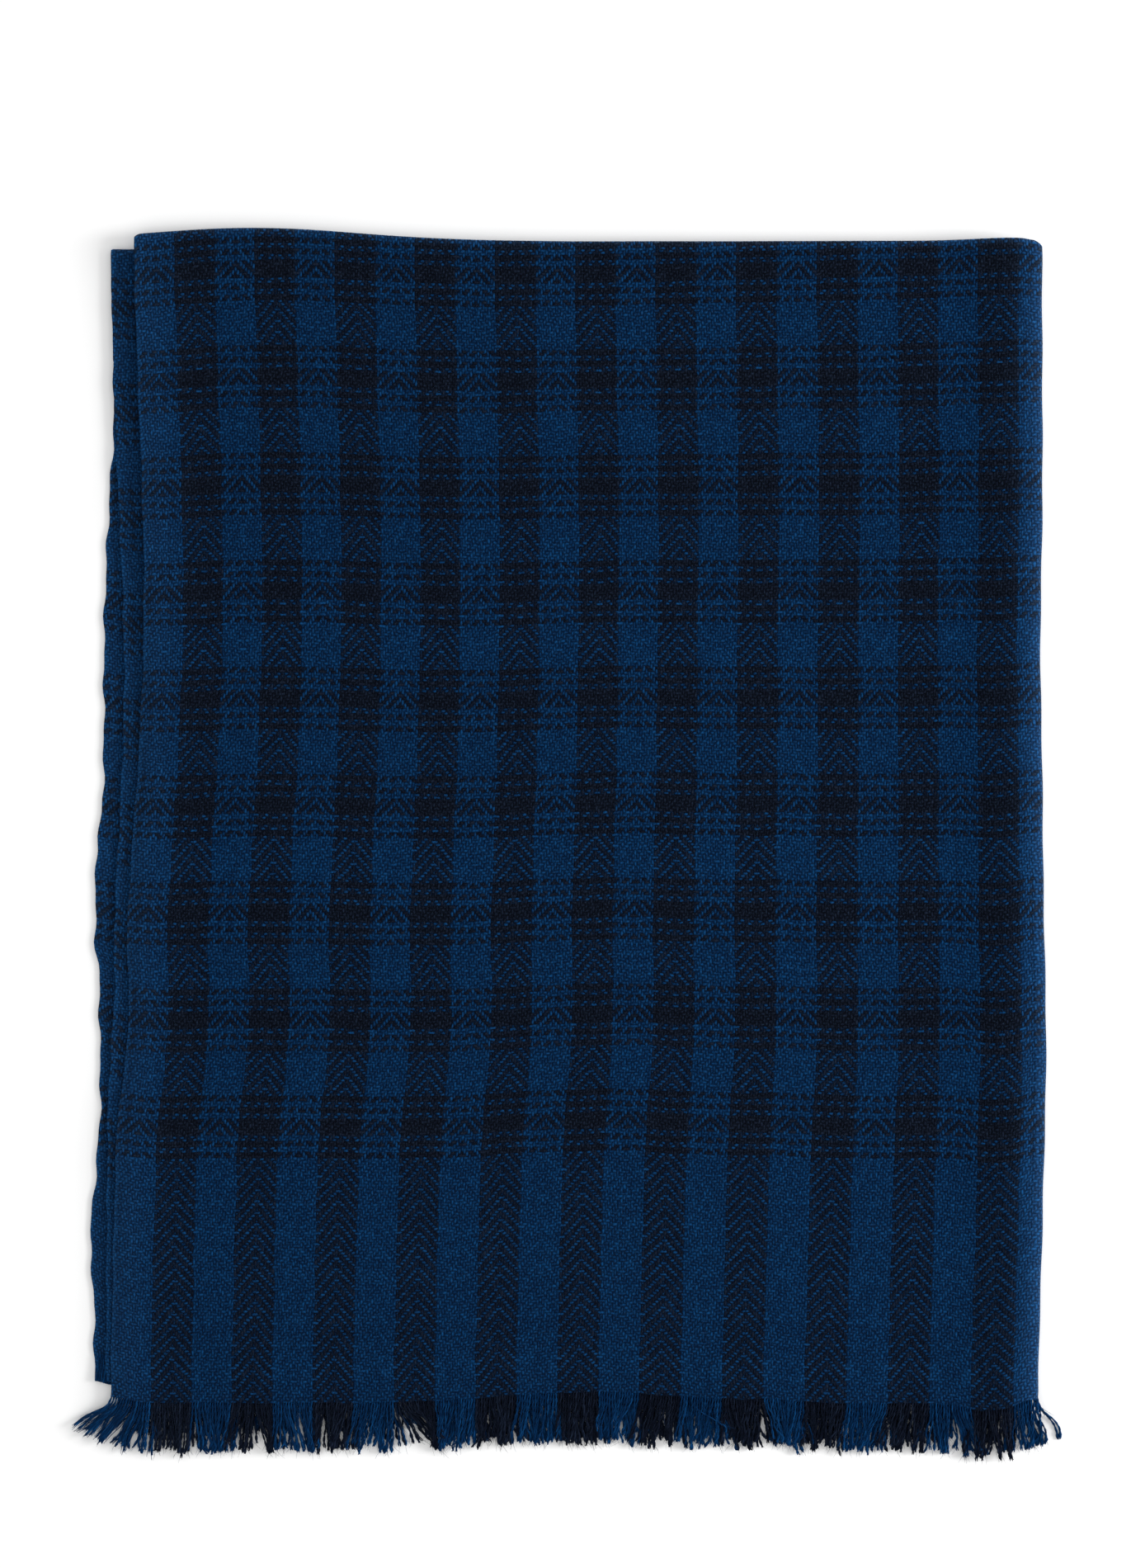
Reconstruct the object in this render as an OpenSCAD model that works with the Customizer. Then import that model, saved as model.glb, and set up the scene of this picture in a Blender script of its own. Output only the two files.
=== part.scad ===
// Folded throw blanket: one woven cloth with its own warp ends as fringe, folded in half
// crosswise and then in half lengthwise, and lying flat. Its upper half opens like a book
// about the lengthwise fold.
//
// Millimetres. +X points at the lengthwise fold, +Y at the crosswise fold, +Z up.
// The origin is the centre of the underside.

/* [Folded size] */
// Width from the lengthwise fold to the bottom layer's selvedge at the fringed end
folded_w = 660; // [500:1:900]
// Length from the crosswise fold to the fringe tips of the upper half
folded_l = 844; // [600:1:1200]
// Free length of the fringe at each end of the cloth
fringe_l = 34; // [15:1:80]
// How much shorter the lower half is at its fringed end
lower_short = 7; // [0:1:20]

/* [Cloth] */
// Thickness of the woven cloth
cloth_t = 2.4; // [1.8:0.1:4]
// Thickness of the fringe, where its yarns lie side by side
fringe_t = 1.6; // [0.8:0.1:1.8]
// Number of warp stripes across one folded layer, blue at both sides
stripes = 23; // [3:2:41]
// Gap between the fringe yarns of one stripe and of the next
stripe_gap = 0.8; // [0.2:0.1:3]

/* [Folds] */
// Air between the two layers of one half
pair_air = 0.9; // [0.4:0.1:3]
// Inner radius of the tightest turn, where the inner cloth goes round the lengthwise fold
core_r = 1.1; // [0.5:0.1:4]
// Air between the upper half and the lower half
half_air = 0.4; // [0.3:0.1:2]

/* [Hidden] */
$fn = 48;

// The outer cloth of the lengthwise fold goes round the inner cloth
inner_r = [core_r, core_r + cloth_t];
outer_r = [inner_r[1] + pair_air, inner_r[1] + pair_air + cloth_t];

// The crosswise fold turns the cloth round the air between the two layers of a half
turn_r = [pair_air / 2, pair_air / 2 + cloth_t];
pair_mid = (inner_r[0] + outer_r[1]) / 2;

// Centre lines of the two folds
bend_x = folded_w / 2 - outer_r[1];
turn_y = folded_l / 2 - turn_r[1];
lower_z = outer_r[1];
upper_z = lower_z + half_air;

// Where the weave ends and the fringe begins
upper_end = fringe_l - folded_l / 2;
lower_end = upper_end + lower_short;

// The selvedges wander. Each point is the part of the way from the crosswise fold to the
// fringe, then how far the selvedge stands back from the widest place.
top_selvedge = [[0, 26], [0.23, 34], [0.7, 21], [1, 11]];
second_selvedge = [[0, 26], [0.4, 36], [1, 18]];
third_selvedge = [[0, 10], [0.4, 18], [1, 7]];
bottom_selvedge = [[0, 10], [0.45, 4], [1, 0]];

// Heights of the underside of each layer
top_z = upper_z + outer_r[0];
second_z = upper_z + inner_r[0];
third_z = lower_z - inner_r[1];
bottom_z = lower_z - outer_r[1];

blue = [0.04, 0.17, 0.30];
navy = [0.06, 0.08, 0.13];
check = [0.05, 0.13, 0.23];

function selvedge_x(p) = p[1] - folded_w / 2;
function start_x(selvedge) = selvedge_x(selvedge[0]);
function end_x(selvedge) = selvedge_x(selvedge[len(selvedge) - 1]);

// One flat layer, from its selvedge to the lengthwise fold
module layer(selvedge, z, end_y) {
    edge = [for (p = selvedge) [selvedge_x(p), turn_y + p[0] * (end_y - turn_y)]];
    color(check)
        translate([0, 0, z])
            linear_extrude(cloth_t)
                polygon(concat([[bend_x, end_y], [bend_x, turn_y]], edge));
}

// The half round that joins the two layers of a half along the crosswise fold
module crosswise_fold(selvedge, z) {
    x0 = start_x(selvedge);
    color(check)
        translate([0, turn_y, z])
            rotate([0, 90, 0])
                rotate_extrude(angle = 180)
                    translate([turn_r[0], x0])
                        square([turn_r[1] - turn_r[0], bend_x - x0]);
}

// Turns a profile of radius and -Y about the lengthwise fold, through a quarter
module quarter_turn(z, upper) {
    color(check)
        translate([bend_x, 0, z])
            mirror([0, 0, upper ? 0 : 1])
                rotate([90, 0, 0])
                    rotate_extrude(angle = 90)
                        children();
}

// A quarter of the lengthwise fold of one cloth
module side_fold(r, z, end_y, upper) {
    quarter_turn(z, upper)
        translate([r[0], -turn_y])
            square([r[1] - r[0], turn_y - end_y]);
}

// The crosswise fold where it goes round the lengthwise fold
module corner_fold(z, upper) {
    quarter_turn(z, upper)
        translate([pair_mid, -turn_y])
            difference() {
                circle(turn_r[1]);
                circle(turn_r[0]);
                translate([-turn_r[1] - 1, 0])
                    square(2 * turn_r[1] + 2);
            }
}

// The yarn ends of every second stripe of one layer
module fringe(selvedge, z, end_y, first, tint) {
    x0 = end_x(selvedge);
    pitch = (bend_x - x0) / stripes;
    color(tint)
        for (k = [first : 2 : stripes - 1])
            translate([x0 + k * pitch + stripe_gap / 2, end_y - fringe_l, z + (cloth_t - fringe_t) / 2])
                cube([pitch - stripe_gap, fringe_l, fringe_t]);
}

// Upper half
module top_layer() { layer(top_selvedge, top_z, upper_end); }
module second_layer() { layer(second_selvedge, second_z, upper_end); }
module upper_crosswise_fold() { crosswise_fold(top_selvedge, upper_z + pair_mid); }
module upper_outer_side_fold() { side_fold(outer_r, upper_z, upper_end, true); }
module upper_inner_side_fold() { side_fold(inner_r, upper_z, upper_end, true); }
module upper_corner_fold() { corner_fold(upper_z, true); }
module top_fringe_blue() { fringe(top_selvedge, top_z, upper_end, 0, blue); }
module top_fringe_navy() { fringe(top_selvedge, top_z, upper_end, 1, navy); }
module second_fringe_blue() { fringe(second_selvedge, second_z, upper_end, 0, blue); }
module second_fringe_navy() { fringe(second_selvedge, second_z, upper_end, 1, navy); }

// Lower half
module third_layer() { layer(third_selvedge, third_z, lower_end); }
module bottom_layer() { layer(bottom_selvedge, bottom_z, lower_end); }
module lower_crosswise_fold() { crosswise_fold(bottom_selvedge, lower_z - pair_mid); }
module lower_outer_side_fold() { side_fold(outer_r, lower_z, lower_end, false); }
module lower_inner_side_fold() { side_fold(inner_r, lower_z, lower_end, false); }
module lower_corner_fold() { corner_fold(lower_z, false); }
module third_fringe_blue() { fringe(third_selvedge, third_z, lower_end, 0, blue); }
module third_fringe_navy() { fringe(third_selvedge, third_z, lower_end, 1, navy); }
module bottom_fringe_blue() { fringe(bottom_selvedge, bottom_z, lower_end, 0, blue); }
module bottom_fringe_navy() { fringe(bottom_selvedge, bottom_z, lower_end, 1, navy); }

top_layer();
second_layer();
upper_crosswise_fold();
upper_outer_side_fold();
upper_inner_side_fold();
upper_corner_fold();
top_fringe_blue();
top_fringe_navy();
second_fringe_blue();
second_fringe_navy();
third_layer();
bottom_layer();
lower_crosswise_fold();
lower_outer_side_fold();
lower_inner_side_fold();
lower_corner_fold();
third_fringe_blue();
third_fringe_navy();
bottom_fringe_blue();
bottom_fringe_navy();
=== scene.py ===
import math
from types import SimpleNamespace

import bpy
import numpy as np
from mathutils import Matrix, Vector


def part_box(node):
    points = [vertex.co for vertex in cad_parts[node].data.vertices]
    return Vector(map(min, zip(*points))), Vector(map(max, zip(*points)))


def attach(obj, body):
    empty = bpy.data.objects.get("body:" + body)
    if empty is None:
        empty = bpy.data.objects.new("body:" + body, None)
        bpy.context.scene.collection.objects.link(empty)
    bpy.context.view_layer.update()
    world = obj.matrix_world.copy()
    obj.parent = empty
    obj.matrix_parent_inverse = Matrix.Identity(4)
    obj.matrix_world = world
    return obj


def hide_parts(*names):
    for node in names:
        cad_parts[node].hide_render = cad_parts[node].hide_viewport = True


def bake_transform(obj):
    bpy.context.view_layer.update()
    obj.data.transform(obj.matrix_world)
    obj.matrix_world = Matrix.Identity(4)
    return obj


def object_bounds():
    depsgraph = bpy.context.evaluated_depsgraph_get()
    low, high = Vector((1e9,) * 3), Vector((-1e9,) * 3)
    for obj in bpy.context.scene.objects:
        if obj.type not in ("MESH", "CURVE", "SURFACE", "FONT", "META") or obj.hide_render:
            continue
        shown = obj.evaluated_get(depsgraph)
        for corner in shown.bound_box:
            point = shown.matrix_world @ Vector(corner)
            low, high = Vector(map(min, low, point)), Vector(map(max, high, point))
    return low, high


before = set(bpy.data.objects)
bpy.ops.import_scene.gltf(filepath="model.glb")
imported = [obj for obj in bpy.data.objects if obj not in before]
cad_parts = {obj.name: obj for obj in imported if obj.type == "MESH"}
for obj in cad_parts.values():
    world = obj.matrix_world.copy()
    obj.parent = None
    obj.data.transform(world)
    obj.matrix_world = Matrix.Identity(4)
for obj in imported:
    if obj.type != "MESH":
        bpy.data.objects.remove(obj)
cad_low, cad_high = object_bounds()

MM = 0.001


# ---------------------------------------------------------------- places taken from the CAD frame

def box(node):
    """Lowest and highest corner of a CAD node, as arrays."""
    low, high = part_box(node)
    return np.array(low, float), np.array(high, float)


def middle_z(node):
    low, high = box(node)
    return (low[2] + high[2]) / 2


BEND_X = box("top_layer")[1][0]              # where the flat layers meet the lengthwise fold
TURN_Y = box("top_layer")[1][1]              # where they meet the crosswise fold
WOVEN_Y = box("top_layer")[0][1]             # where the weave ends and the fringe begins
LEFT_X = box("bottom_layer")[0][0]           # the widest place of the bottom layer's selvedge
FOLD_X = box("lower_outer_side_fold")[1][0]  # outer edge of the lengthwise fold
FRINGE = WOVEN_Y - box("top_fringe_blue")[0][1]
LAYERS = ("top_layer", "second_layer", "third_layer", "bottom_layer")
LAYER_Z = {name: middle_z(name) for name in LAYERS}
CLOTH_T = 2.1 * MM                           # thickness of the cloth

# The cloth is counted in threads: ends across it and picks along it
CLOTH_WIDTH = 1.3
ENDS = 720
PICKS = 828
END = CLOTH_WIDTH / ENDS                     # metres from one warp end to the next
STRIPE = 16                                  # ends in one warp stripe, and in one point of the herringbone
PLAIN_PICKS = 87                             # picks of plain blue weft at the first end
LAST_BAND = 754                              # the last pick before the plain weft at the other end
BAND_REPEAT = 38                             # picks from one band of navy weft to the next
BAND_PICKS = 22                              # picks in one band
BAND_CENTRE = 10.5                           # middle of its solid part, and half of that part's width
BAND_HALF = 2.9

# Warp ends at the places where the layers meet the lengthwise fold
OUTER_TURN = (357.8, 367.7)
INNER_TURN = (360.2, 365.2)
# Pick that lies on the crosswise fold, at the selvedge and at the lengthwise fold
TURN_PICK = (418.0, 411.0)
ARC_PICKS = 3.6                              # picks that go round that fold


# ---------------------------------------------------------------- how the folded cloth lies

def bump(t, centre, width):
    return np.exp(-(((t - centre) / width) ** 2))


def ease(t, low, high):
    s = np.clip((t - low) / (high - low), 0, 1)
    return s * s * (3 - 2 * s)


def waves(t, *terms):
    """A sum of sines: each term is height in mm, cycles over the length, and phase in turns."""
    return sum(a * MM * np.sin(2 * math.pi * (n * t + p)) for a, n, p in terms)


# In what follows, s runs across a half from 0 at its selvedge to 1 at the lengthwise fold, and h runs along
# it from 0 at the crosswise fold to 1 at the fringe. Lengths are written in mm, and MM makes them metres.

def top_setback(h):
    """How far the top layer's selvedge stands back from LEFT_X."""
    line = (25.0 - 14.4 * h + 13.8 * bump(h, 0.34, 0.26) + 5.5 * bump(h, 0.68, 0.06)) * MM
    return line + waves(h, (0.35, 11, 0.2), (0.25, 23, 0.6))


def second_setback(h):
    """The second layer's selvedge is hidden, a little further back."""
    return top_setback(h) + 7 * MM * ease(h, 0, 0.5)


def third_setback(h):
    """The third layer's selvedge shows between the upper half and the bottom layer."""
    line = (10.3 - 3.2 * h + 10.6 * bump(h, 0.38, 0.22) + 2.6 * bump(h, 0.66, 0.05)) * MM
    return line + waves(h, (0.45, 14, 0.1), (0.3, 29, 0.4)) * ease(h, 0, 0.1)


def bottom_setback(h):
    """The bottom layer's selvedge waves the most. It steps out near its middle, and partly back again."""
    line = 10.0 + 2.9 * bump(h, 0.12, 0.07) - 4.6 * ease(h, 0.15, 0.36) - 2.5 * ease(h, 0.42, 0.6)
    line = line - 3.6 * ease(h, 0.49, 0.525) + 2.6 * ease(h, 0.61, 0.64) + 1.2 * bump(h, 0.77, 0.09)
    line = (line - 4.6 * ease(h, 0.74, 0.86) - 1.7 * bump(h, 0.875, 0.03) + 1.4 * ease(h, 0.88, 0.95)) * MM
    return line + waves(h, (0.7, 17, 0.3), (0.45, 31, 0.8)) * ease(h, 0, 0.1)


def fold_wander(h):
    """The lengthwise fold isn't quite straight."""
    line = (2.9 * bump(h, 0.7, 0.12) - 1.8 * bump(h, 0.35, 0.09) - 2.2 * ease(h, 0.84, 1.0)) * MM
    return line + waves(h, (0.25, 13, 0.1))


def upper_tip(s):
    """How far the upper half's crosswise fold stands out past its CAD place."""
    rounded = 1.6 * bump(s, 0, 0.004) + 0.7 * bump(s, 1, 0.008)
    return (-2.2 + 9.6 * bump(s, 0.13, 0.17) + 1.2 * bump(s, 0.97, 0.07) - rounded) * MM


def lower_tip(s):
    """The lower half's crosswise fold follows the upper one, further in near the selvedge."""
    blend = ease(s, 0.02, 0.14)
    return upper_tip(s) * blend - (6.6 * (1 - blend) + 2.5 * (1 - s) * blend) * MM


def upper_edge(s):
    """How far the upper half's woven edge stands above WOVEN_Y."""
    line = -3.2 + 7.8 * bump(s, 0.53, 0.14) + 2.2 * bump(s, 0.72, 0.03)
    line = line - 4.4 * bump(s, 0.955, 0.028) + 3.2 * bump(s, 1, 0.014) + 3.4 * bump(s, 0, 0.03)
    return line * MM + waves(s, (0.3, 9, 0.3), (0.25, 21, 0.1))


def lower_edge(s):
    """The lower half's woven edge rises towards the selvedge, under the upper half."""
    return upper_edge(np.ones_like(s)) + (7.6 * (1 - s) ** 0.7 + 3.4 * bump(s, 0, 0.014)) * MM


def loft(x, y):
    """Air that lifts the layers, most of it near the folds, where the cloth rounds over."""
    side = np.maximum(BEND_X - x, 0)
    across = np.maximum(TURN_Y - y, 0)
    slow = (0.45 * np.sin(2 * math.pi * (x / 0.31 + y / 0.9 + 0.12))
            + 0.4 * np.sin(2 * math.pi * (y / 0.37 - x / 0.8 + 0.4))
            + 0.25 * np.sin(2 * math.pi * (x / 0.13 + y / 0.21 + 0.75))
            + 0.16 * np.sin(2 * math.pi * (x / 0.077 - y / 0.11 + 0.3)))
    air = 0.9 + 0.7 * slow
    # A swell beside each fold, and the steep turn down into it
    air = air + 5.4 * np.exp(-((side / 0.036) ** 2)) - 4.2 * np.exp(-side / 0.0095)
    air = air + 2.0 * np.exp(-((across / 0.028) ** 2)) - 2.0 * np.exp(-across / 0.0065)
    return air * MM


def settled(layer, x, y):
    """Height of a layer's middle: held apart at the folds, settled on the layers below away from them."""
    side = np.maximum(BEND_X - x, 0)
    across = np.maximum(TURN_Y - y, 0)
    free = (1 - np.exp(-side / 0.07)) * (1 - 0.6 * np.exp(-across / 0.05))
    return LAYER_Z[layer] + (SETTLED_Z[layer] - LAYER_Z[layer]) * free


# For each of LAYERS: its share of the air, where its middle settles, how far its selvedge drops, and the
# outline of its selvedge
LIFT = dict(zip(LAYERS, (1.0, 0.72, 0.14, 0.0)))
SETTLED_Z = dict(zip(LAYERS, (8.0 * MM, 5.75 * MM, 3.45 * MM, 1.15 * MM)))
DROOP = dict(zip(LAYERS, (2.8 * MM, 0.25 * MM, 0.1 * MM, 0.0)))
DROOP_REACH = 5.5 * MM                       # how far in from the selvedge the drop is felt
SETBACK = dict(zip(LAYERS, (top_setback, second_setback, third_setback, bottom_setback)))


def layer_points(layer, s, h):
    """The middle of the cloth in one layer."""
    upper = layer in ("top_layer", "second_layer")
    tip = upper_tip(s) if upper else lower_tip(s)
    edge = upper_edge(s) if upper else lower_edge(s)
    left = LEFT_X + SETBACK[layer](h)
    right = BEND_X + fold_wander(h)
    # The warp isn't quite straight either
    drift = -2.9 * np.sin(math.pi * s) * ease(h, 0.55, 0.85)
    drift = drift + 2.2 * bump(s, 0.86, 0.16) * bump(h, 0.35, 0.35)
    x = left + s * (right - left) + drift * MM
    top = TURN_Y + tip
    bottom = WOVEN_Y + edge
    y = top + h * (bottom - top)
    z = settled(layer, x, y) + LIFT[layer] * loft(x, y)
    # A selvedge drops where nothing holds it up: for the top layer, past the second layer's selvedge
    z = z - DROOP[layer] * bump(x, left, DROOP_REACH) * ease(h, 0.15, 0.5)
    return np.stack(np.broadcast_arrays(x, y, z), axis=-1)


# Rows run along the warp: up the outer layer, round the crosswise fold, and back along the inner layer
FLAT_ROWS = 150
TURN_ROWS = 9
TURN_FROM = math.radians(70)                 # the cloth already slopes where it meets the crosswise fold
rows = [("flat", 0, h) for h in np.linspace(1, 0, FLAT_ROWS)]
rows += [("turn", a, 0.0) for a in np.linspace(TURN_FROM, -TURN_FROM, TURN_ROWS + 2)[1:-1]]
rows += [("flat", 1, h) for h in np.linspace(0, 1, FLAT_ROWS)]


def turn_share(angle):
    """How far round a crosswise fold a row is, from 0 at the outer layer to 1 at the inner one."""
    return 0.5 - 0.5 * math.sin(angle) / math.sin(TURN_FROM)


def turn_pick(s):
    """The pick that lies on the crosswise fold."""
    return TURN_PICK[0] + s * (TURN_PICK[1] - TURN_PICK[0])


def half_grid(outer, inner, ends_outer, ends_inner, s):
    """Points and thread counts of one half of the cloth, a column for each s and a row for each of rows."""
    points = np.zeros((len(s), len(rows), 3))
    threads = np.zeros((len(s), len(rows), 2))
    start = turn_pick(s) - ARC_PICKS / 2
    outer_top = layer_points(outer, s, np.zeros_like(s))
    inner_top = layer_points(inner, s, np.zeros_like(s))
    reach = 0.5 * (outer_top[:, 2] - inner_top[:, 2])
    for j, (kind, part, h) in enumerate(rows):
        if kind == "turn":
            out = (math.cos(part) - math.cos(TURN_FROM)) / (1 - math.cos(TURN_FROM))
            points[:, j] = outer_top + (inner_top - outer_top) * turn_share(part)
            points[:, j, 1] += np.abs(reach) * out
            threads[:, j, 1] = start + ARC_PICKS * (0.5 - 0.5 * part / TURN_FROM)
            threads[:, j, 0] = ends_outer
        elif part == 0:
            points[:, j] = layer_points(outer, s, np.full_like(s, h))
            threads[:, j, 1] = (1 - h) * start
            threads[:, j, 0] = ends_outer
        else:
            points[:, j] = layer_points(inner, s, np.full_like(s, h))
            threads[:, j, 1] = start + ARC_PICKS + h * (PICKS - start - ARC_PICKS)
            threads[:, j, 0] = ends_outer + (ends_inner - ends_outer) * ease(h, 0, 0.12)
    return points, threads


# Columns run across the cloth, closer together at the selvedge and by the lengthwise fold
EDGE_S = np.array([0, 0.0012, 0.003, 0.006])
EDGE_SHARE = np.array([0.5, 0.85, 1.04, 1.04])   # share of the thickness in those first columns
NEAR_FOLD_S = 0.035
across = np.concatenate([EDGE_S, np.linspace(0.012, 0.96, 112), 1 - NEAR_FOLD_S * np.linspace(1, 0, 13)])
upper_points, upper_threads = half_grid(
    "top_layer", "second_layer", across * OUTER_TURN[0], across * INNER_TURN[0], across)
lower_points, lower_threads = half_grid(
    "bottom_layer", "third_layer",
    ENDS - across * (ENDS - OUTER_TURN[1]), ENDS - across * (ENDS - INNER_TURN[1]), across)
lower_points, lower_threads = lower_points[::-1], lower_threads[::-1]

# The lengthwise fold carries the rows round from the upper half to the lower half
TURN_STEPS = 15
STEEP = math.radians(44)                     # slope of the cloth where it meets this fold
OUTER_REACH = FOLD_X - BEND_X - CLOTH_T / 2 + 1.1 * MM
INNER_REACH = 2.9 * MM
CORNER = 2.3 * MM                            # how far the corner between the two folds is rounded off
CORNER_REACH = 5 * MM
inner_share = np.array([0.0 if kind == "flat" and part == 0 else 1.0 if kind == "flat"
                        else turn_share(part) for kind, part, _ in rows])
fold_reach = OUTER_REACH + (INNER_REACH - OUTER_REACH) * inner_share
fold_mid = (upper_points[-1] + lower_points[0]) / 2
fold_half = (upper_points[-1] - lower_points[0]) / 2
fold_points, fold_threads = [], []
for angle in np.linspace(STEEP, -STEEP, TURN_STEPS + 2)[1:-1]:
    ring = fold_mid + fold_half * math.sin(angle) / math.sin(STEEP)
    out = (math.cos(angle) - math.cos(STEEP)) / (1 - math.cos(STEEP))
    ring[:, 0] += fold_reach * out
    ring[:, 1] -= CORNER * out ** 2 * np.exp((ring[:, 1] - ring[:, 1].max()) / CORNER_REACH)
    fold_points.append(ring)
    share = 0.5 - 0.5 * angle / STEEP
    fold_threads.append(upper_threads[-1] + (lower_threads[0] - upper_threads[-1]) * share)
cloth = np.concatenate([upper_points, np.array(fold_points), lower_points])
threads = np.concatenate([upper_threads, np.array(fold_threads), lower_threads])

run_across = np.gradient(cloth, axis=0)
run_along = np.gradient(cloth, axis=1)
normals = np.cross(run_across, run_along)
normals /= np.linalg.norm(normals, axis=2, keepdims=True)

# The cloth thins to a rounded edge at its selvedges and at its woven ends
WOVEN_END_SHARE = 0.55
thick = np.full(cloth.shape[:2], CLOTH_T)
for k, share in enumerate(EDGE_SHARE):
    thick[k] *= share
    thick[-1 - k] *= share
thick[:, 0] *= WOVEN_END_SHARE
thick[:, -1] *= WOVEN_END_SHARE


# ---------------------------------------------------------------- meshes

def linked_object(name, data):
    obj = bpy.data.objects.new(name, data)
    bpy.context.scene.collection.objects.link(obj)
    return obj


def cloth_piece(name, first, last):
    """A closed piece of the cloth between two columns, with its thread counts as its UV map."""
    p, n, t, uv = (a[first:last + 1] for a in (cloth, normals, thick, threads))
    front = (p + n * t[..., None] / 2).reshape(-1, 3)
    back = (p - n * t[..., None] / 2).reshape(-1, 3)
    shift = len(front)
    index = np.arange(shift).reshape(p.shape[:2])
    a, b, c, d = index[:-1, :-1], index[1:, :-1], index[1:, 1:], index[:-1, 1:]
    # The border has corners of its own, so that it doesn't tilt the shading of the cloth's two faces
    quads = [np.stack([a, b, c, d], -1).reshape(-1, 4),
             np.stack([d, c, b, a], -1).reshape(-1, 4) + shift]
    both = np.concatenate([front, back])
    verts, source = [both], [np.arange(2 * shift)]
    base = 2 * shift
    for line in (index[:, 0][::-1], index[:, -1], index[0, :], index[-1, :][::-1]):
        count = len(line)
        above = base + np.arange(count)
        quads.append(np.stack([above[:-1], above[1:], above[1:] + count, above[:-1] + count], -1))
        source.append(np.concatenate([line, line + shift]))
        verts.append(both[source[-1]])
        base += 2 * count
    faces = np.concatenate(quads)
    source = np.concatenate(source)
    mesh = bpy.data.meshes.new(name)
    mesh.from_pydata(np.concatenate(verts).tolist(), [], faces.tolist())
    vertex_uv = np.concatenate([uv.reshape(-1, 2)] * 2)[source]
    layer = mesh.uv_layers.new(name="threads")
    loops = np.zeros(len(mesh.loops), int)
    mesh.loops.foreach_get("vertex_index", loops)
    layer.data.foreach_set("uv", vertex_uv[loops].astype(np.float32).ravel())
    side = mesh.attributes.new("front", "FLOAT", "POINT")
    side.data.foreach_set("value", (source < shift).astype(np.float32))
    smooth = np.zeros(len(mesh.polygons), bool)
    smooth[:2 * len(quads[0])] = True
    mesh.polygons.foreach_set("use_smooth", smooth)
    mesh.update()
    return linked_object(name, mesh)


LAST_UPPER = len(across) - 1
FIRST_LOWER = LAST_UPPER + TURN_STEPS + 1
upper_cloth = cloth_piece("upper_half_cloth", 0, LAST_UPPER)
fold_cloth = cloth_piece("lengthwise_fold_cloth", LAST_UPPER, FIRST_LOWER)
lower_cloth = cloth_piece("lower_half_cloth", FIRST_LOWER, len(cloth) - 1)


# ---------------------------------------------------------------- fringe

PLY_R = 0.44 * MM                            # each fringe yarn is two plies twisted together
PLY_TURN = 9.5 * MM                          # length of one turn of the twist
YARN_STEPS = 22
IN_WEAVE = 2.5 * MM                          # how far up into the weave a yarn is followed
REST = 1.0 * MM                              # lowest height of a yarn's middle
FIBRE_R = 0.11 * MM
FIBRES = 7                                   # loose fibres on each yarn
BRUSHED = 9                                  # more of them where the corner of the fringe is brushed out
BRUSHED_REACH = 24 * MM
STRAND_R = 0.27 * MM                         # radius of the strands a brushed yarn falls apart into
STRAND_LOW = 0.35 * MM                       # lowest height of a strand's middle
CURL_REACH = 14 * MM                         # yarns within this of the fold curl more
PARTINGS = ((-0.230, -0.55), (-0.112, 0.75), (0.140, 0.55))   # where the fringe parts, and by what angle
PARTING_WIDTH = 8 * MM
CROSSING_X = 0.0855                          # a yarn of the top layer that lies across its neighbours
CROSSING_Z = 6.0 * MM
TUCKED_ENDS = 15                             # ends at the lower half's selvedge that are turned back inside
TUCK_LENGTH = 18 * MM


def tube(path, radius, sides):
    """Rings of points round a path, one radius for each point of the path."""
    tangent = np.gradient(path, axis=0)
    tangent /= np.linalg.norm(tangent, axis=1, keepdims=True)
    helper = np.array([0.0, 0.0, 1.0]) if abs(tangent[:, 2]).max() < 0.9 else np.array([1.0, 0.0, 0.0])
    right = np.cross(tangent, helper)
    right /= np.linalg.norm(right, axis=1, keepdims=True)
    up = np.cross(right, tangent)
    turn = np.linspace(0, 2 * math.pi, sides, endpoint=False)
    spoke = np.cos(turn)[None, :, None] * right[:, None] + np.sin(turn)[None, :, None] * up[:, None]
    return path[:, None] + radius[:, None, None] * spoke


def tube_mesh(name, rings):
    """One mesh of closed tubes, each given as its rings."""
    verts, faces = [], []
    base = 0
    for ring in rings:
        steps, sides = ring.shape[:2]
        index = base + np.arange(steps * sides).reshape(steps, sides)
        a, b = index[:-1], index[1:]
        quads = np.stack([a, b, np.roll(b, -1, 1), np.roll(a, -1, 1)], -1)
        faces += quads.reshape(-1, 4).tolist()
        faces.append(index[0].tolist())
        faces.append(index[-1][::-1].tolist())
        verts.append(ring.reshape(-1, 3))
        base += steps * sides
    mesh = bpy.data.meshes.new(name)
    mesh.from_pydata(np.concatenate(verts).tolist(), [], faces)
    mesh.polygons.foreach_set("use_smooth", np.ones(len(mesh.polygons), bool))
    mesh.update()
    return linked_object(name, mesh)


def edge_at(row, end_numbers):
    """Points on the woven edge of one row of the grid at the given warp ends."""
    line = cloth[:, row]
    number = threads[:, row, 0]
    return np.stack([np.interp(end_numbers, number, line[:, k]) for k in range(3)], -1)


def smooth_noise(rng, n, step):
    """Values between about -1 and 1 that change slowly along n places."""
    knots = rng.normal(size=int(n / step) + 4)
    t = np.arange(n) / step
    k = t.astype(int)
    f = t - k
    f = f * f * (3 - 2 * f)
    return knots[k] * (1 - f) + knots[k + 1] * f


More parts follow.
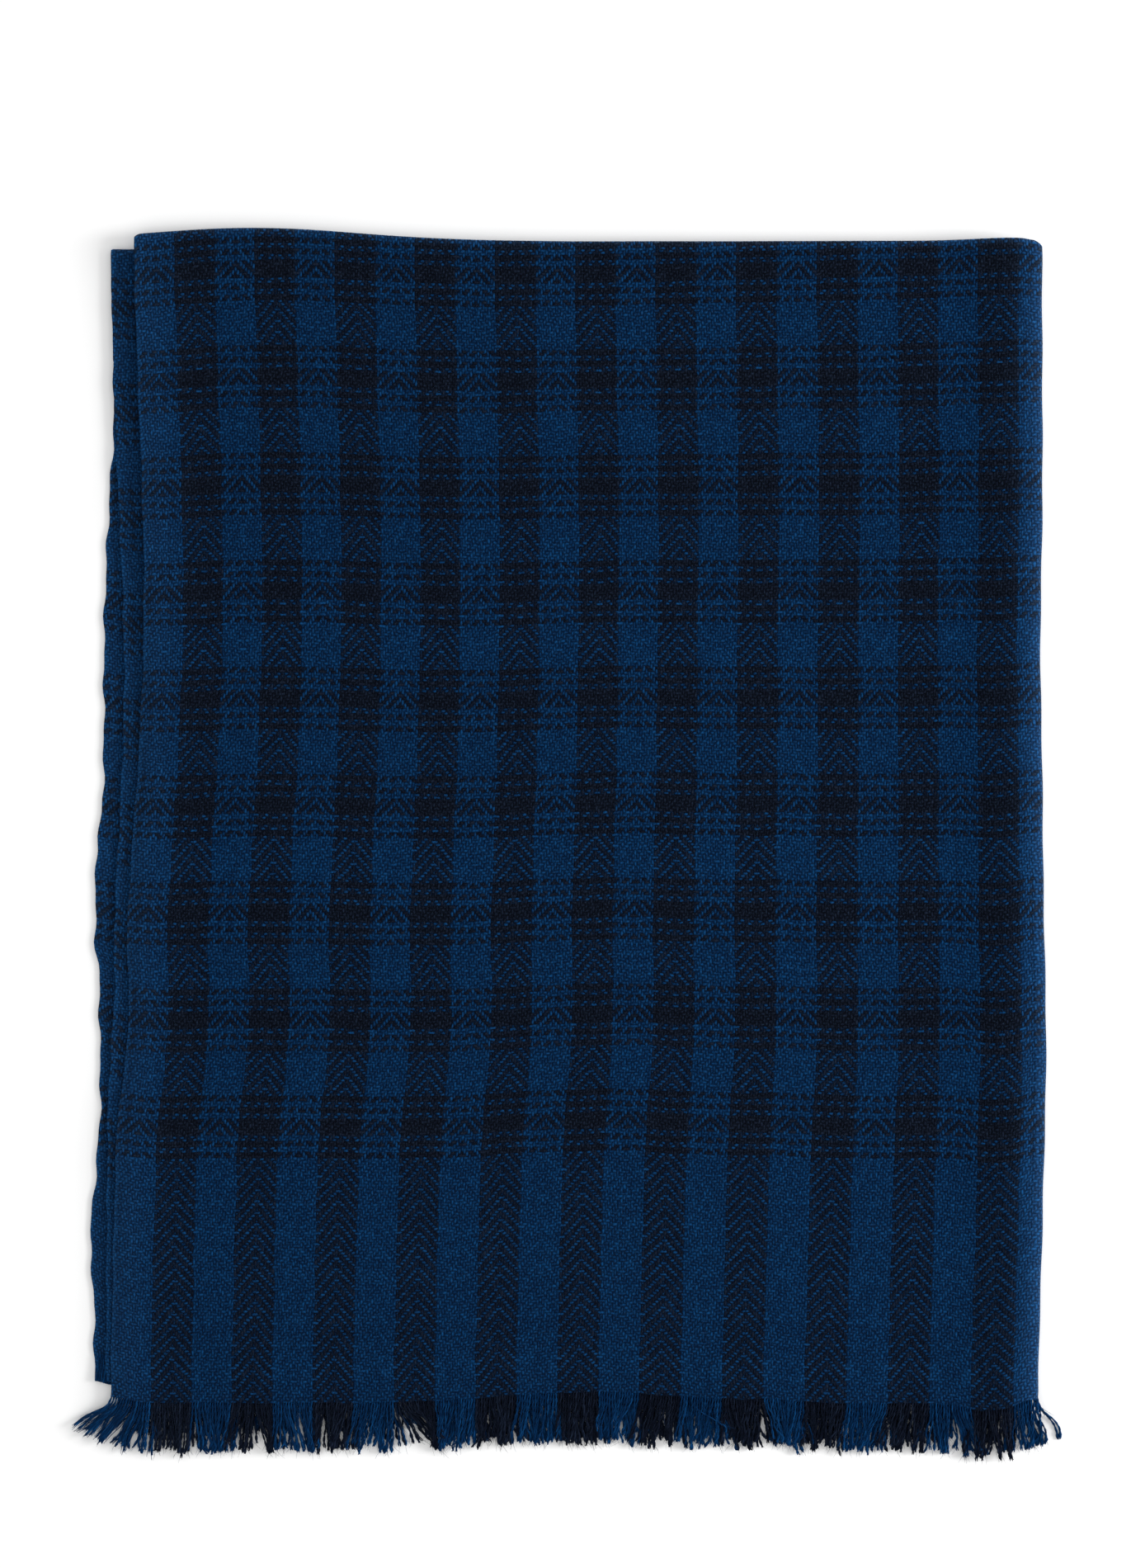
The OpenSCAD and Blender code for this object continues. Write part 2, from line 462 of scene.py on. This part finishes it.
def yarn_rings(rng, path):
    """Two plies twisted round a path; they loosen and thin out at its tip."""
    t = np.linspace(0, 1, len(path))
    length = np.concatenate([[0], np.cumsum(np.linalg.norm(np.diff(path, axis=0), axis=1))])
    loosen = ease(t, 0.72, 1.0)
    turn = 2 * math.pi * (length / PLY_TURN + rng.random())
    radius = PLY_R * (1 + 0.1 * rng.normal()) * (1 + 0.6 * loosen) * (1 - 0.55 * ease(t, 0.93, 1.0))
    away = 0.9 * PLY_R * (1 + 1.3 * loosen * rng.random())
    rings = []
    for side in (1, -1):
        ply = path.copy()
        ply[:, 0] += side * away * np.cos(turn)
        ply[:, 2] = np.maximum(ply[:, 2] + side * away * np.sin(turn), radius)
        rings.append(tube(ply, radius, 5))
    return rings


def brushed_rings(rng, path, count):
    """The strands of a yarn that is brushed open, wider apart towards its tip."""
    t = np.linspace(0, 1, len(path))
    rings = []
    for _ in range(count):
        size = rng.uniform(0.82, 1.06)
        strand = path[0] + (path - path[0]) * size
        away = 1.5 * rng.normal() * t
        wave = 0.5 * np.sin(2 * math.pi * (1.3 * t + rng.random())) * t
        strand[:, 0] += (away + wave) * MM
        strand[:, 1] += 1.1 * rng.normal() * t * MM
        strand[:, 2] = np.maximum(strand[:, 2] + 0.5 * rng.normal() * t * MM, STRAND_LOW)
        rings.append(tube(strand, STRAND_R * (1 - 0.5 * ease(t, 0.85, 1.0)), 4))
    return rings


def fibre_rings(rng, path, count):
    """Loose fibres that stand off a yarn and trail past its tip."""
    rings = []
    t = np.linspace(0, 1, 4)[:, None]
    for _ in range(count):
        at = rng.integers(2, len(path) - 1)
        along = path[at] - path[at - 1]
        along /= np.linalg.norm(along)
        go = along + np.array([0.34 * rng.normal(), 0.1 * rng.normal(), 0.16 * rng.normal()])
        bow = np.array([rng.normal(), 0.3 * rng.normal(), 0.4 * rng.normal()]) * 2.4 * MM
        fibre = path[at] + go * rng.uniform(3, 8) * MM * t + bow * t * (1 - t)
        fibre[:, 2] = np.maximum(fibre[:, 2], 2 * FIBRE_R)
        rings.append(tube(fibre, FIBRE_R * np.array([1, 0.9, 0.75, 0.4]), 3))
    return rings


def hanging_path(start, angle, size, shift, wave, rest_z, droop):
    """A yarn end that leaves the woven edge straight, bends to its own angle and droops back.

    shift moves its tip sideways. wave is its height in mm, cycles and phase.
    """
    t = np.linspace(0, 1, YARN_STEPS)
    bent = angle * (ease(t, -0.15, 0.5) - droop * ease(t, 0.4, 1.0))
    step = size / (YARN_STEPS - 1)
    x = start[0] + np.cumsum(np.sin(bent)) * step + shift * ease(t, 0.15, 0.95)
    x = x + wave[0] * MM * t * np.sin(2 * math.pi * (wave[1] * t + wave[2]))
    y = start[1] + IN_WEAVE - np.cumsum(np.cos(bent)) * step
    z = start[2] + (rest_z - start[2]) * ease(t, 0.02, 0.8)
    z = z + 0.4 * MM * np.sin(2 * math.pi * (wave[1] * t + wave[0]))
    return np.stack([x, y, np.maximum(z, REST)], -1)


def tucked_path(start, side):
    """A yarn end turned back between the layers of its half: side is 1 from the lower layer, -1 from the upper."""
    t = np.linspace(0, 1, YARN_STEPS)
    turned = np.clip(t / 0.3, 0, 1) * math.pi
    back = np.clip((t - 0.3) / 0.7, 0, 1) * TUCK_LENGTH
    x = start[0] + 0.15 * back
    y = start[1] + 1.2 * MM - 0.8 * MM * np.sin(turned) + back
    z = start[2] + side * 0.75 * MM * (1 - np.cos(turned))
    return np.stack([x, y, z], -1)


def tufts(rng, start):
    """Neighbouring yarns cling together: the number of each yarn's tuft, and each tuft's middle."""
    n = len(start)
    tuft = np.repeat(np.arange(n), rng.integers(2, 7, n))[:n]
    middle = np.array([start[tuft == k, 0].mean() if (tuft == k).any() else 0.0 for k in range(n)])
    return tuft, middle


def hang_angles(rng, start, tuft, middle, flare):
    """The angle at which each yarn hangs, from -y towards +x. flare is added at the selvedge and at the fold."""
    n = len(start)
    low, high = start[:, 0].min(), start[:, 0].max()
    from_selvedge = start[:, 0] - low
    # Slow bends along the fringe, then a turn of each tuft's own and of each yarn's own
    angle = 0.2 * smooth_noise(rng, n, 24) + 0.12 * smooth_noise(rng, n, 8)
    angle += 0.11 * rng.normal(size=n)[tuft] + 0.03 * rng.normal(size=n)
    angle = angle * (1 - 0.9 * np.exp(-from_selvedge / (16 * MM)))
    by_tuft = 0.35 * (middle[tuft] - low) + 0.65 * from_selvedge
    angle += flare[0] * np.exp(-by_tuft / (17 * MM)) + flare[1] * np.exp(-(high - middle[tuft]) / (12 * MM))
    for place, lean in PARTINGS:
        angle += lean * bump(start[:, 0], place, PARTING_WIDTH)
    return angle


def hang_lengths(rng, n, tuft):
    """The length of each yarn, in metres."""
    size = 1.03 + 0.045 * smooth_noise(rng, n, 30)
    size = size + 0.035 * rng.normal(size=n)[tuft] + 0.03 * rng.normal(size=n)
    return FRINGE * np.clip(size, 0.86, 1.17)


def fringe_rings(row, numbers, rest_z, seed, flare, tucked, crossing):
    """The rings of plies and fibres of each yarn end of one layer. row is the grid row of its woven edge."""
    rng = np.random.default_rng(seed)
    start = edge_at(row, numbers)
    n = len(numbers)
    tuft, middle = tufts(rng, start)
    angle = hang_angles(rng, start, tuft, middle, flare)
    size = hang_lengths(rng, n, tuft)
    from_selvedge = start[:, 0] - start[:, 0].min()
    near_fold = np.exp((start[:, 0] - start[:, 0].max()) / CURL_REACH)
    tuft_wave = rng.normal(size=n)
    tuft_rise = rng.uniform(-0.5, 0.8, n)
    result = []
    for k in range(n):
        shift = 0.42 * (middle[tuft[k]] - start[k, 0])
        crimp = 0.65 + 0.45 * near_fold[k]
        wave = (0.8 * tuft_wave[tuft[k]] + crimp * rng.normal(), rng.uniform(1.0, 2.0), rng.random())
        brushed = int(BRUSHED * math.exp(-from_selvedge[k] / BRUSHED_REACH))
        if tucked and numbers[k] > ENDS - TUCKED_ENDS:
            path = tucked_path(start[k], tucked)
            brushed = -FIBRES
        elif crossing and abs(start[k, 0] - CROSSING_X) < END / 2:
            path = hanging_path(start[k], 1.0, size[k], 0.0, (0.5, 1.2, 0.3), CROSSING_Z, 0.0)
        else:
            height = rest_z + tuft_rise[tuft[k]] * MM
            droop = 0.25 + 0.55 * near_fold[k]
            path = hanging_path(start[k], angle[k], size[k], shift, wave, height, droop)
        rings = yarn_rings(rng, path) + fibre_rings(rng, path, FIBRES + brushed)
        if brushed > 2:
            rings += brushed_rings(rng, path, brushed)
        result.append(rings)
    return result


# Layer, row of its woven edge, warp ends, height of its yarns at rest, seed, flare at selvedge and fold,
# which way its last ends are tucked, and body
FRINGES = [
    ("top", 0, np.arange(0.5, 363, 1.0), 3.6 * MM, 11, (-1.25, 0.3), 0, "upper_half"),
    ("second", -1, np.arange(0.5, 363, 1.0), 2.7 * MM, 12, (-1.1, 0.5), 0, "upper_half"),
    ("third", -1, np.arange(363.5, 720, 1.0), 1.9 * MM, 13, (0.3, 0.55), -1, "lower_half"),
    ("bottom", 0, np.arange(363.5, 720, 1.0), 1.1 * MM, 14, (0.3, 0.7), 1, "lower_half"),
]
fringe_pieces = {}
for short, row, numbers, rest_z, seed, flare, tucked, body in FRINGES:
    yarns = fringe_rings(row, numbers, rest_z, seed, flare, tucked, short == "top")
    navy = (numbers // STRIPE) % 2 == 1
    for colour, wanted in (("blue", False), ("navy", True)):
        rings = [ring for k, rings in enumerate(yarns) if navy[k] == wanted for ring in rings]
        fringe_pieces[(short, colour)] = (tube_mesh(f"{short}_fringe_{colour}_yarns", rings), body)


# ---------------------------------------------------------------- materials

class Graph:
    """Short names for the maths of a node tree."""

    def __init__(self, material):
        self.tree = material.node_tree
        self.nodes = self.tree.nodes

    def put(self, socket, value):
        if hasattr(value, "is_output"):
            self.tree.links.new(value, socket)
        else:
            socket.default_value = value

    def math(self, operation, a, b=0.0):
        node = self.nodes.new("ShaderNodeMath")
        node.operation = operation
        self.put(node.inputs[0], a)
        self.put(node.inputs[1], b)
        return node.outputs[0]

    def add(self, a, b):
        return self.math("ADD", a, b)

    def sub(self, a, b):
        return self.math("SUBTRACT", a, b)

    def mul(self, a, b):
        return self.math("MULTIPLY", a, b)

    def mod(self, a, b):
        return self.math("FLOORED_MODULO", a, b)

    def floor(self, a):
        return self.math("FLOOR", a)

    def less(self, a, b):
        return self.math("LESS_THAN", a, b)

    def more(self, a, b):
        return self.math("GREATER_THAN", a, b)

    def lower(self, a, b):
        return self.math("MINIMUM", a, b)

    def higher(self, a, b):
        return self.math("MAXIMUM", a, b)

    def within(self, a, low, high):
        return self.lower(self.higher(a, low), high)

    def magnitude(self, a):
        return self.math("ABSOLUTE", a)

    def power(self, a, b):
        return self.math("POWER", a, b)

    def centred(self, a, reach):
        """A value between 0 and 1, moved and scaled to lie between -reach / 2 and reach / 2."""
        return self.mul(self.sub(a, 0.5), reach)

    def mix(self, factor, a, b):
        """a where factor is 0 and b where it is 1."""
        return self.add(self.mul(a, self.sub(1.0, factor)), self.mul(b, factor))

    def fade(self, distance, reach, peak):
        """peak at distance 0, falling off softly over the reach."""
        return self.mul(self.math("EXPONENT", self.mul(self.power(distance, 2.0), -1.0 / reach ** 2)), peak)

    def mix_colour(self, factor, a, b, blend="MIX"):
        node = self.nodes.new("ShaderNodeMix")
        node.data_type = "RGBA"
        node.blend_type = blend
        self.put(node.inputs[0], factor)
        self.put(node.inputs[6], a)
        self.put(node.inputs[7], b)
        return node.outputs[2]

    def combine(self, x, y, z=0.0):
        node = self.nodes.new("ShaderNodeCombineXYZ")
        for socket, value in zip(node.inputs, (x, y, z)):
            self.put(socket, value)
        return node.outputs[0]

    def noise(self, vector, scale, detail=2.0):
        node = self.nodes.new("ShaderNodeTexNoise")
        self.put(node.inputs["Vector"], vector)
        node.inputs["Scale"].default_value = scale
        node.inputs["Detail"].default_value = detail
        return node.outputs["Fac"]

    def hashed(self, vector):
        node = self.nodes.new("ShaderNodeTexWhiteNoise")
        node.noise_dimensions = "3D"
        self.put(node.inputs["Vector"], vector)
        return node.outputs["Value"]


BLUE = (0.0012, 0.0138, 0.0500, 1)
BLUE_LIT = (0.0037, 0.0500, 0.1560, 1)
NAVY = (0.0026, 0.0038, 0.0090, 1)
NAVY_LIT = (0.0100, 0.0162, 0.0335, 1)
FUZZ_AND_EDGE_HIGHLIGHT = (0.0230, 0.0480, 0.0860, 1)           # stray fibres on the cloth, paler than the yarns, and the colour of the painted highlight at the edges
SHEEN_TINT = (0.38, 0.62, 1.0, 1)
COUNT_FROM = 1999.0                          # the weave counts picks down from here, so that it stays above 0


def new_material(name, fuzz):
    material = bpy.data.materials.new(name)
    material.use_nodes = True
    shader = material.node_tree.nodes["Principled BSDF"]
    shader.inputs["Roughness"].default_value = 0.9
    shader.inputs["Specular IOR Level"].default_value = 0.02
    shader.inputs["Sheen Weight"].default_value = fuzz
    shader.inputs["Sheen Roughness"].default_value = 0.3
    shader.inputs["Sheen Tint"].default_value = SHEEN_TINT
    return material, shader, Graph(material)


def add_bump(g, shader, height, strength, distance):
    node = g.nodes.new("ShaderNodeBump")
    node.inputs["Strength"].default_value = strength
    node.inputs["Distance"].default_value = distance
    g.put(node.inputs["Height"], height)
    g.put(shader.inputs["Normal"], node.outputs[0])


def wander(g, place):
    """How far the threads stray from their count at a place."""
    return g.add(g.centred(g.noise(place, 0.5), 0.5), g.centred(g.noise(place, 0.09), 1.1))


def thread_place(g):
    """The warp end and weft pick at a point, as counted and with the threads' wander, and the face it is on."""
    uv = g.nodes.new("ShaderNodeUVMap")
    uv.uv_map = "threads"
    split = g.nodes.new("ShaderNodeSeparateXYZ")
    g.tree.links.new(uv.outputs["UV"], split.inputs[0])
    side = g.nodes.new("ShaderNodeAttribute")
    side.attribute_name = "front"
    at = SimpleNamespace(counted_end=split.outputs[0], counted_pick=split.outputs[1])
    at.place = g.combine(at.counted_end, at.counted_pick)
    at.other_place = g.combine(at.counted_pick, at.counted_end, 7.0)
    at.end = g.within(g.add(at.counted_end, wander(g, at.place)), 0.01, ENDS - 0.01)
    at.pick = g.add(at.counted_pick, wander(g, at.other_place))
    at.is_back = g.less(side.outputs["Fac"], 0.5)
    at.fine = g.noise(g.combine(at.end, at.pick), 1.9, 3.0)
    return at


def draft(g, at):
    """2/2 twill: the harness that lifts an end climbs for eight ends and comes down for eight."""
    half = STRIPE / 2
    weave = SimpleNamespace()
    weave.climb = g.sub(half + 0.5, g.magnitude(g.sub(g.mod(g.sub(at.end, 0.5), float(STRIPE)), half)))
    weave.harness = g.floor(g.add(weave.climb, g.centred(g.noise(at.place, 2.6), 0.5)))
    weave.down = g.add(g.sub(COUNT_FROM, at.pick), g.centred(g.noise(at.other_place, 2.6), 0.5))
    weave.down_cell = g.floor(weave.down)
    lift = g.mod(g.add(weave.harness, weave.down_cell), 4.0)
    weave.warp_up = g.magnitude(g.sub(g.less(lift, 1.5), at.is_back))
    return weave


def add_floats(g, at, weave):
    """Each float rises from under its neighbour, over two threads, and goes under again."""
    along_warp = g.mul(g.mod(g.add(weave.harness, weave.down), 2.0), 0.5)
    along_weft = g.mul(g.mod(g.add(weave.climb, weave.down_cell), 2.0), 0.5)
    off_end = g.sub(g.math("FRACT", at.end), 0.5)
    off_pick = g.sub(g.math("FRACT", weave.down), 0.5)
    heights = []
    for along, off in ((along_weft, off_pick), (along_warp, off_end)):
        arch = g.power(g.math("SINE", g.mul(along, math.pi)), 0.85)
        heights.append(g.mul(arch, g.math("COSINE", g.mul(off, 2.95))))
    weave.height = g.mix(weave.warp_up, *heights)
    # The plies show as fine slanting lines
    slant_warp = g.add(g.mul(off_end, 1.1), g.mul(weave.down, 0.9))
    slant_weft = g.add(g.mul(off_pick, 1.1), g.mul(at.end, 0.9))
    weave.plies = g.math("SINE", g.mul(g.mix(weave.warp_up, slant_weft, slant_warp), 2 * math.pi))


def weft_navy(g, weave):
    """1 on a navy pick: each band has a solid centre, and pairs of picks on both sides of it."""
    number = g.sub(COUNT_FROM - 1, weave.down_cell)
    place = g.mod(g.sub(number, float(PLAIN_PICKS)), float(BAND_REPEAT))
    pairs = g.less(g.mod(place, 4.0), 1.5)
    centre = g.less(g.magnitude(g.sub(place, BAND_CENTRE)), BAND_HALF)
    in_band = g.mul(g.less(place, BAND_PICKS - 0.5), g.higher(pairs, centre))
    patterned = g.mul(g.more(number, PLAIN_PICKS - 0.5), g.less(number, float(LAST_BAND)))
    return g.mul(in_band, patterned)


def is_navy(g, at, weave):
    """1 where the thread that shows is navy."""
    warp = g.mod(g.floor(g.mul(at.end, 1.0 / STRIPE)), 2.0)
    weft = weft_navy(g, weave)
    # Where a float dips, fibres of the thread that crosses it close over it
    dips = g.mix(weave.warp_up, g.mix(weft, 0.4, 0.17), 0.22)
    buried = g.less(g.add(weave.height, g.centred(at.fine, 0.7)), dips)
    return g.mix(g.magnitude(g.sub(weave.warp_up, buried)), weft, warp)


def float_tone_and_highlight(g, at, weave):
    """How light the yarn is, from 0 to 1: a painted highlight on the crown of each float, and a tone of each
    float's own.
    """
    warp_float = g.floor(g.mul(g.add(weave.harness, weave.down), 0.5))
    weft_float = g.floor(g.mul(g.add(weave.climb, weave.down_cell), 0.5))
    thread = g.mix(weave.warp_up, weave.down_cell, g.floor(at.end))
    own = g.hashed(g.combine(thread, g.mix(weave.warp_up, weft_float, warp_float), weave.warp_up))
    grain = g.noise(g.combine(g.mul(at.end, 0.9), g.mul(at.pick, 0.9), 9.0), 1.0, 2.5)
    # A painted highlight on the crown of each float, then each float's own tone, grain and plies
    tone = g.add(g.mul(g.power(weave.height, 2.0), 0.28), g.mul(g.power(own, 2.5), 0.5))
    tone = g.add(tone, g.mul(g.sub(grain, 0.47), 2.35))
    tone = g.add(tone, g.centred(at.fine, 1.3))
    tone = g.add(tone, g.mul(weave.plies, 0.05))
    # A painted highlight along the last end at each selvedge, where the edge catches the light
    last_end = g.higher(g.less(at.counted_end, 1.3), g.more(at.counted_end, ENDS - 1.3))
    return g.within(g.add(tone, g.mul(last_end, 0.45)), 0.0, 1.0)


def painted_edge_highlight(g, at):
    """Painted highlight where the cloth rounds over towards the light: most along the selvedges and round the
    folds.
    """
    from_edge = g.lower(at.counted_end, g.sub(float(ENDS), at.counted_end))
    from_turn = g.magnitude(g.sub(at.counted_end, sum(OUTER_TURN) / 2))
    turn_at = g.sub(TURN_PICK[0], g.mul(from_edge, (TURN_PICK[0] - TURN_PICK[1]) / OUTER_TURN[0]))
    from_tip = g.magnitude(g.sub(at.counted_pick, turn_at))
    edge_highlight_amount = g.add(g.fade(from_edge, 15.0, 1.15), g.fade(from_turn, 9.5, 1.9))
    return g.lower(g.add(edge_highlight_amount, g.fade(from_tip, 2.4, 2.2)), 1.8)


def check_cloth():
    """Herringbone twill: 2/2 points of 16 ends, navy and blue warp stripes, and bands of navy weft."""
    material, shader, g = new_material("check_cloth", 0.5)
    at = thread_place(g)
    weave = draft(g, at)
    add_floats(g, at, weave)
    navy = is_navy(g, at, weave)
    tone = float_tone_and_highlight(g, at, weave)
    blue_yarn = g.mix_colour(tone, BLUE, BLUE_LIT)
    navy_yarn = g.mix_colour(tone, NAVY, NAVY_LIT)
    colour = g.mix_colour(navy, blue_yarn, navy_yarn)
    edge_highlight_amount = painted_edge_highlight(g, at)
    # Stray fibres in small patches, plus the painted edge highlight, mix the colour towards the fuzz colour
    fibre_and_edge_highlight = g.higher(g.sub(g.noise(g.combine(at.pick, at.end, 3.0), 2.4, 1.0), 0.57), 0.0)
    fibre_and_edge_highlight = g.add(g.mul(fibre_and_edge_highlight, 2.6), g.mul(edge_highlight_amount, 0.08))
    colour = g.mix_colour(g.lower(fibre_and_edge_highlight, 0.6), colour, FUZZ_AND_EDGE_HIGHLIGHT)
    # Painted shade between the threads, where the floats dip, and a little cloudy
    cloudy = g.noise(g.combine(at.end, at.pick), 0.045, 2.0)
    shade = g.mul(g.add(0.36, g.mul(g.power(weave.height, 1.2), 0.58)), g.add(0.93, g.mul(cloudy, 0.14)))
    # Navy a touch darker, and lighter where the painted edge highlight falls
    shade = g.mul(shade, g.mul(g.sub(1.0, g.mul(navy, 0.1)), g.add(1.0, g.mul(edge_highlight_amount, 0.33))))
    colour = g.mix_colour(1.0, colour, g.combine(shade, shade, shade), "MULTIPLY")
    g.put(shader.inputs["Base Color"], colour)
    relief = g.add(weave.height, g.add(g.mul(at.fine, 0.35), g.mul(weave.plies, 0.06)))
    add_bump(g, shader, relief, 0.9, 0.55 * MM)
    return material


def yarn(name, base, lit):
    """Loose plied yarn: mottled fibres with a fine grain along it."""
    material, shader, g = new_material(name, 0.1)
    place = g.nodes.new("ShaderNodeTexCoord").outputs["Object"]
    fine = g.noise(place, 1500.0, 3.0)
    broad = g.noise(place, 160.0, 2.0)
    own = g.nodes.new("ShaderNodeNewGeometry").outputs["Random Per Island"]
    tone = g.add(g.add(g.mul(fine, 0.9), g.mul(broad, 0.5)), g.mul(g.power(own, 3.0), 0.7))
    g.put(shader.inputs["Base Color"], g.mix_colour(g.within(g.sub(tone, 0.66), 0.0, 1.0), base, lit))
    add_bump(g, shader, fine, 0.7, 0.2 * MM)
    return material


cloth_material = check_cloth()
yarn_materials = {"blue": yarn("blue_yarn", BLUE, BLUE_LIT), "navy": yarn("navy_yarn", NAVY, NAVY_LIT)}


# ---------------------------------------------------------------- pieces and what they stand for

for piece in (upper_cloth, fold_cloth, lower_cloth):
    piece.data.materials.append(cloth_material)
for (short, colour), (piece, body) in fringe_pieces.items():
    piece.data.materials.append(yarn_materials[colour])
    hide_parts(f"{short}_fringe_{colour}")
    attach(piece, body)

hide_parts("top_layer", "second_layer", "upper_crosswise_fold")
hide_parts("bottom_layer", "third_layer", "lower_crosswise_fold")
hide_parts("upper_outer_side_fold", "upper_inner_side_fold", "upper_corner_fold",
            "lower_outer_side_fold", "lower_inner_side_fold", "lower_corner_fold")
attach(upper_cloth, "upper_half")
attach(lower_cloth, "lower_half")
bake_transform(fold_cloth)


# ---------------------------------------------------------------- floor, light and camera

def floor():
    half = 6.0
    mesh = bpy.data.meshes.new("floor")
    corners = [(-half, -half, 0), (half, -half, 0), (half, half, 0), (-half, half, 0)]
    mesh.from_pydata(corners, [], [(0, 1, 2, 3)])
    obj = linked_object("floor", mesh)
    material = bpy.data.materials.new("floor")
    material.use_nodes = True
    shader = material.node_tree.nodes["Principled BSDF"]
    shader.inputs["Base Color"].default_value = (0.9, 0.9, 0.9, 1)
    shader.inputs["Roughness"].default_value = 0.95
    shader.inputs["Specular IOR Level"].default_value = 0.0
    mesh.materials.append(material)


def area_light(name, place, aim, size, power):
    data = bpy.data.lights.new(name, "AREA")
    data.shape = "DISK"
    data.size = size
    data.energy = power
    obj = linked_object(name, data)
    obj.location = place
    direction = Vector(aim) - Vector(place)
    obj.rotation_euler = direction.to_track_quat("-Z", "Y").to_euler()


def studio():
    world = bpy.data.worlds.new("studio")
    world.use_nodes = True
    world.node_tree.nodes["Background"].inputs["Color"].default_value = (1, 1, 1, 1)
    world.node_tree.nodes["Background"].inputs["Strength"].default_value = 0.87
    scene = bpy.context.scene
    scene.world = world
    scene.view_settings.view_transform = "Standard"
    scene.view_settings.look = "None"
    area_light("key", place=(3.15, 0.1, 1.2), aim=(0, 0, 0), size=1.6, power=135)


def camera():
    """Straight above the blanket. The width of the picture is measured at the height of the CAD's top."""
    height = 2.6
    frame_width = 0.798
    centre_x, centre_y = 3.5 * MM, 41 * MM
    data = bpy.data.cameras.new("camera")
    obj = linked_object("camera", data)
    data.sensor_fit = "HORIZONTAL"
    data.sensor_width = 36.0
    data.lens = 36.0 * height / frame_width
    obj.location = (centre_x, centre_y, height + cad_high[2])
    bpy.context.scene.camera = obj


floor()
studio()
camera()
